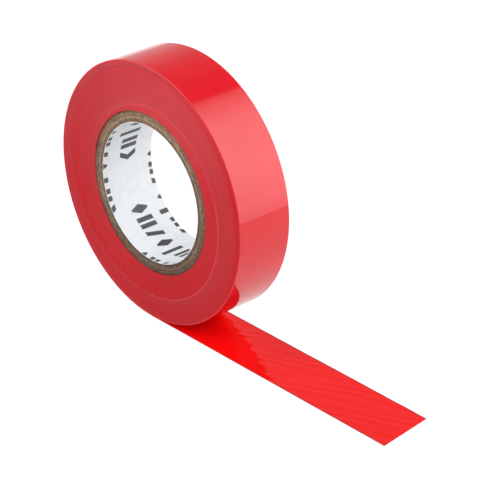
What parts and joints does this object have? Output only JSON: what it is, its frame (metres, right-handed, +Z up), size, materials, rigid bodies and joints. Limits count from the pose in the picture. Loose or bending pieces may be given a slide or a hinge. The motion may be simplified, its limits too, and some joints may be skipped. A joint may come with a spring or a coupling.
{
  "type": "electrical tape roll",
  "caption": "Roll of red PVC electrical tape on a lined paperboard core, standing on its rim with its free end drawn out flat and adhesive side up.",
  "frame": {"origin": "middle of the core's bore, halfway across the tape's width", "axes": "+Y along the roll's axis, away from the face that stands out; +X the way the free end points; +Z up, as the roll stands on its rim"},
  "size_m": [0.1354, 0.0183, 0.079],
  "materials": {
    "liner_paper": "satin",
    "core_board": "matte",
    "tape_film": "gloss",
    "tape_adhesive": "gloss"
  },
  "bodies": {
    "roll": {"core_liner": "liner_paper", "core_ply_1": "core_board", "core_ply_2": "core_board", "core_ply_3": "core_board", "core_ply_4": "core_board", "core_ply_5": "core_board", "core_ply_6": "core_board", "inner_turns": "tape_film", "middle_turns": "tape_film", "outer_turns": "tape_film", "last_turn": "tape_film", "tail_start": "tape_adhesive"},
    "tail_1": {"tail_1": "tape_adhesive"},
    "tail_2": {"tail_2": "tape_adhesive"},
    "tail_3": {"tail_3": "tape_adhesive"},
    "tail_4": {"tail_4": "tape_adhesive"},
    "tail_5": {"tail_5": "tape_adhesive"},
    "tail_6": {"tail_6": "tape_adhesive"},
    "tail_7": {"tail_7": "tape_adhesive"},
    "tail_8": {"tail_8": "tape_adhesive"}
  },
  "joints": [
    {"name": "bend_1", "type": "hinge", "parent": "roll", "child": "tail_1", "pos_m": [0.00592, 0, -0.03935], "axis": [0, -1, 0], "range_deg": [0, 16.2]},
    {"name": "bend_2", "type": "hinge", "parent": "tail_1", "child": "tail_2", "pos_m": [0.01717, 0, -0.03935], "axis": [0, -1, 0], "range_deg": [0, 16.2]},
    {"name": "bend_3", "type": "hinge", "parent": "tail_2", "child": "tail_3", "pos_m": [0.02842, 0, -0.03935], "axis": [0, -1, 0], "range_deg": [0, 16.2]},
    {"name": "bend_4", "type": "hinge", "parent": "tail_3", "child": "tail_4", "pos_m": [0.03968, 0, -0.03935], "axis": [0, -1, 0], "range_deg": [0, 16.2]},
    {"name": "bend_5", "type": "hinge", "parent": "tail_4", "child": "tail_5", "pos_m": [0.05092, 0, -0.03935], "axis": [0, -1, 0], "range_deg": [0, 16.2]},
    {"name": "bend_6", "type": "hinge", "parent": "tail_5", "child": "tail_6", "pos_m": [0.06218, 0, -0.03935], "axis": [0, -1, 0], "range_deg": [0, 16.2]},
    {"name": "bend_7", "type": "hinge", "parent": "tail_6", "child": "tail_7", "pos_m": [0.07343, 0, -0.03935], "axis": [0, -1, 0], "range_deg": [0, 16.2]},
    {"name": "bend_8", "type": "hinge", "parent": "tail_7", "child": "tail_8", "pos_m": [0.08468, 0, -0.03935], "axis": [0, -1, 0], "range_deg": [0, 16.2]}
  ]
}
